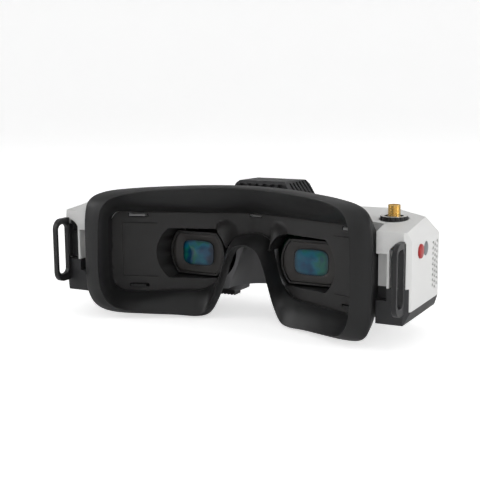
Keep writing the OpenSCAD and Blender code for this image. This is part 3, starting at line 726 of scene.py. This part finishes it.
for side, name in ((-1, "left"), (1, "right")):
    x0 = side * EYE_OUT
    rings = [round_flat(LENS_R, LENS_H, y, x0) for y in (LENS_BACK, LENS_STEP)]
    rings.append(bowed_window(CROWN_W, CROWN_H, LENS_STEP - 0.02, x0))
    edge = bowed_window(CROWN_W, CROWN_H, CROWN_EDGE, x0)
    rings.append(edge)
    middle = [at(x0, 0, 0)] * AROUND
    for k in range(1, 12):
        share = k / 12
        crown = CROWN_EDGE - CROWN_RISE * math.sin(share * math.pi / 2)
        rings.append(toward(edge, middle, share, crown))
    eye_lens = skin_over("front_lens_" + name, rings, capped=True)
    eye_lens.data.set_sharp_from_angle(angle=math.radians(40))
    eye_lens.data.materials.append(coated)
    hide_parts("lens_" + name)
    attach(eye_lens, name + "_eyepiece")
dress(coated, "field_lens_left", "field_lens_right")

# ---- Displays and rails inside the barrels: small glass panels on their boards, and two ground
# steel rails in plastic blocks that the eyepieces slide on.
screen, shader, add, join = blank("display_glass")
place = add("TexCoord")
cells = add(
    "TexChecker", Scale=20000.0, Color1=(0.004, 0.004, 0.006, 1), Color2=(0.010, 0.011, 0.014, 1)
)
join(place, "Object", cells, "Vector")
join(cells, "Color", shader, "Base Color")
smear = add("TexNoise", Scale=160.0, Detail=4.0)
join(place, "Object", smear, "Vector")
smeared = add("MapRange", To_Min=0.05, To_Max=0.2)
join(smear, 0, smeared, "Value")
join(smeared, "Result", shader, "Roughness")
dress(screen, "display_left", "display_right")

inner_grey = moulded("inner_grey", (0.045, 0.045, 0.047), 0.5, worn=0.2)[0]
dress(inner_grey, "rail_blocks", "fan_frame", "fan_rotor", "dial_encoder")
dress(inner_grey, "record_switch", "power_switch", "power_jack", "audio_jack")


def bright_metal(name, colour, rough, brushed):
    """Turned or ground metal: fine scratches along one way, and duller patches from handling."""
    finish, shader, add, join = blank(name)
    place = add("TexCoord")
    along = add("Mapping", Scale=Vector(brushed))
    join(place, "Object", along, "Vector")
    lines = add("TexNoise", Scale=900.0, Detail=3.0, Roughness=0.6)
    join(along, "Vector", lines, "Vector")
    dull = add("TexNoise", Scale=300.0, Detail=4.0, Roughness=0.6)
    join(place, "Object", dull, "Vector")
    tone = between(add, join, dull, 0, tint(colour, 0.82), tint(colour, 1.08))
    join(tone, 2, shader, "Base Color")
    sheen = add("MapRange", To_Min=rough - 0.07, To_Max=rough + 0.12)
    join(lines, 0, sheen, "Value")
    join(sheen, "Result", shader, "Roughness")
    press = add("Bump", Strength=0.6, Distance=0.000006)
    join(lines, 0, press, "Height")
    join(press, "Normal", shader, "Normal")
    shader.inputs["Metallic"].default_value = 1
    return finish


steel = bright_metal("ground_steel", (0.56, 0.56, 0.57), 0.28, (0.05, 1, 1))
dress(steel, "ipd_rails", "receiver_shield", "power_pin", "video_socket", "card_slot")
dress(steel, "shell_screws", "loop_screws")

# ---- Circuit boards: glass-epoxy boards in green solder mask over copper tracks, with their
# moulded chips and connectors.
solder_mask, shader, add, join = blank("solder_mask")
place = add("TexCoord")
tracks = add("TexVoronoi", feature="DISTANCE_TO_EDGE", Scale=420.0)
weave = add("TexNoise", Scale=1500.0, Detail=2.0)
for pattern in (tracks, weave):
    join(place, "Object", pattern, "Vector")
line = add("MapRange", From_Min=0.05, From_Max=0.09)
join(tracks, "Distance", line, "Value")
green = between(add, join, line, 0, (0.02, 0.13, 0.055, 1), (0.006, 0.055, 0.024, 1))
join(green, 2, shader, "Base Color")
raised = add("Bump", Strength=0.5, Distance=0.00003)
join(line, "Result", raised, "Height")
join(raised, "Normal", shader, "Normal")
gleam = add("MapRange", To_Min=0.28, To_Max=0.42)
join(weave, 0, gleam, "Value")
join(gleam, "Result", shader, "Roughness")
dress(solder_mask, "main_board", "receiver_board", "power_board")
dress(solder_mask, "display_board_left", "display_board_right")
chip_black = moulded("chip_black", (0.014, 0.014, 0.014), 0.55, worn=0.1)[0]
dress(chip_black, "board_chips")

# ---- Strap loops: a D-shaped plate on each side with a tall slot for the head strap, moulded in
# glass-filled nylon and screwed inside the pod.
loop_nylon = moulded(
    "loop_nylon", (0.013, 0.013, 0.014), 0.36, worn=0.45, relief=0.010, rounding=0.5
)[0]
dress(loop_nylon, "strap_loop_left", "strap_loop_right")
soften("strap_loop_left", 0.8, segments=3)
soften("strap_loop_right", 0.8, segments=3)

# ---- Antenna connectors: turned brass barrels, threaded and gold-plated, with a white insulator
# and a pin in the middle. One stands up through the dial, the other points forward in its bay.
gold = bright_metal("gold_plate", (0.86, 0.60, 0.22), 0.24, (1, 1, 1))
BARREL_R, BORE_R, PIN_HOLE_R = 3.175, 2.35, 0.9
PITCH, THREAD_DEPTH = 0.706, 0.34
TURNS, ROWS_PER_MM = 64, 15.0
BODY_HALF, BODY_BEVEL = 4.48, 0.25


def threaded_barrel(name, foot, tip):
    """A barrel with a helical thread from above its foot to its tip."""
    count = int((tip - foot) * ROWS_PER_MM)
    rings = [circle_of(PIN_HOLE_R, foot, TURNS)]
    for i in range(count + 1):
        height = foot + (tip - foot) * i / count
        ring = []
        for k in range(TURNS):
            a = math.tau * k / TURNS
            wave = (height / PITCH - k / TURNS) % 1
            depth = THREAD_DEPTH * min(1, abs(wave - 0.5) * 2.6)
            run_out = min(1, (tip - height) / 0.5, max(0, (height - foot - 0.8) / 0.4))
            lead_in = 0.3 * max(0, 1 - (tip - height) / 0.3)
            radius = BARREL_R - 0.02 - depth * max(0, run_out) - lead_in
            ring.append((radius * math.cos(a), radius * math.sin(a), height))
        rings.append(ring)
    floor = foot + 1.2
    for radius, height in ((BORE_R + 0.25, tip), (BORE_R, tip - 0.2), (BORE_R, floor),
                           (PIN_HOLE_R, floor)):
        rings.append(circle_of(radius, height, TURNS))
    barrel = skin_over(name, rings, looped=True)
    barrel.data.set_sharp_from_angle(angle=math.radians(48))
    return barrel


def block(name, half, low, high, corner):
    """A square body with bevelled edges, standing on one end."""
    def square(size, height):
        k = size - corner
        return [(k, -size, height), (size, -k, height), (size, k, height), (k, size, height),
                (-k, size, height), (-size, k, height), (-size, -k, height), (-k, -size, height)]

    slim = half - corner
    levels = ((slim, low), (half, low + corner), (half, high - corner), (slim, high))
    return skin_over(name, [square(size, height) for size, height in levels], capped=True)


def stand_at(piece, x, y, z, forward=False):
    """Puts a piece drawn standing on the origin in its place, turned forward if need be."""
    turn = Matrix.Rotation(math.radians(-90), 4, "X") if forward else Matrix.Identity(4)
    piece.data.transform(Matrix.Translation(at(x, y, z)) @ turn @ Matrix.Scale(0.001, 4))


for name, place, root, foot, tip, forward in (
    ("top", (80.6, -10.9, 0), 12.05, 18.2, 33.6, False),
    ("front", (76, 0, 8), 16.05, 22.2, 37.5, True),
):
    barrel = threaded_barrel(name + "_antenna_barrel", foot - 0.1, tip)
    base = block(name + "_antenna_body", BODY_HALF, root, foot - 0.02, BODY_BEVEL)
    for piece in (barrel, base):
        stand_at(piece, *place, forward=forward)
        piece.data.materials.append(gold)
        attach(piece, "housing")
    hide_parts(name + "_antenna_connector")
    base.data.polygons.foreach_set("use_smooth", [False] * len(base.data.polygons))
dress(gold, "antenna_contacts")
insulator = moulded("white_insulator", (0.75, 0.74, 0.70), 0.5, worn=0.05, drift=0.04)[0]
dress(insulator, "antenna_insulators")

# ---- Side buttons: a red one that starts a recording and a grey one for power, each a turned-up
# cap with a crowned face and a collar inside the wall.
SIDE_X = 96.8
BUTTON_Z = 13.9


def button(name, y, proud, finish):
    """A cap that stands proud of the side by this much, on its collar."""
    face = SIDE_X + proud
    profile = [(0.4, 92.62), (4.1, 92.62), (4.28, 92.75), (4.28, 93.65), (4.1, 93.8), (3.4, 93.8),
               (3.4, face - 0.75), (3.33, face - 0.5), (3.1, face - 0.3), (2.6, face - 0.16),
               (1.8, face - 0.06), (0.9, face - 0.01), (0.2, face)]
    turns = [math.tau * k / 64 for k in range(64)]
    rings = [[at(x, y + r * math.sin(a), BUTTON_Z + r * math.cos(a)) for a in turns]
             for r, x in profile]
    cap = skin_over(name + "_cap", rings, capped=True)
    cap.data.set_sharp_from_angle(angle=math.radians(40))
    cap.data.materials.append(finish)
    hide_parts(name)
    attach(cap, name)


red, shader = moulded("button_red", (0.40, 0.006, 0.005), 0.30, worn=0.1, relief=0.003)[:2]
shader.inputs["Coat Weight"].default_value = 0.3
button("record_button", -20.5, 1.2, red)
grey = moulded("button_grey", (0.17, 0.19, 0.20), 0.36, worn=0.1)[0]
button("power_button", -11.7, 0.4, grey)
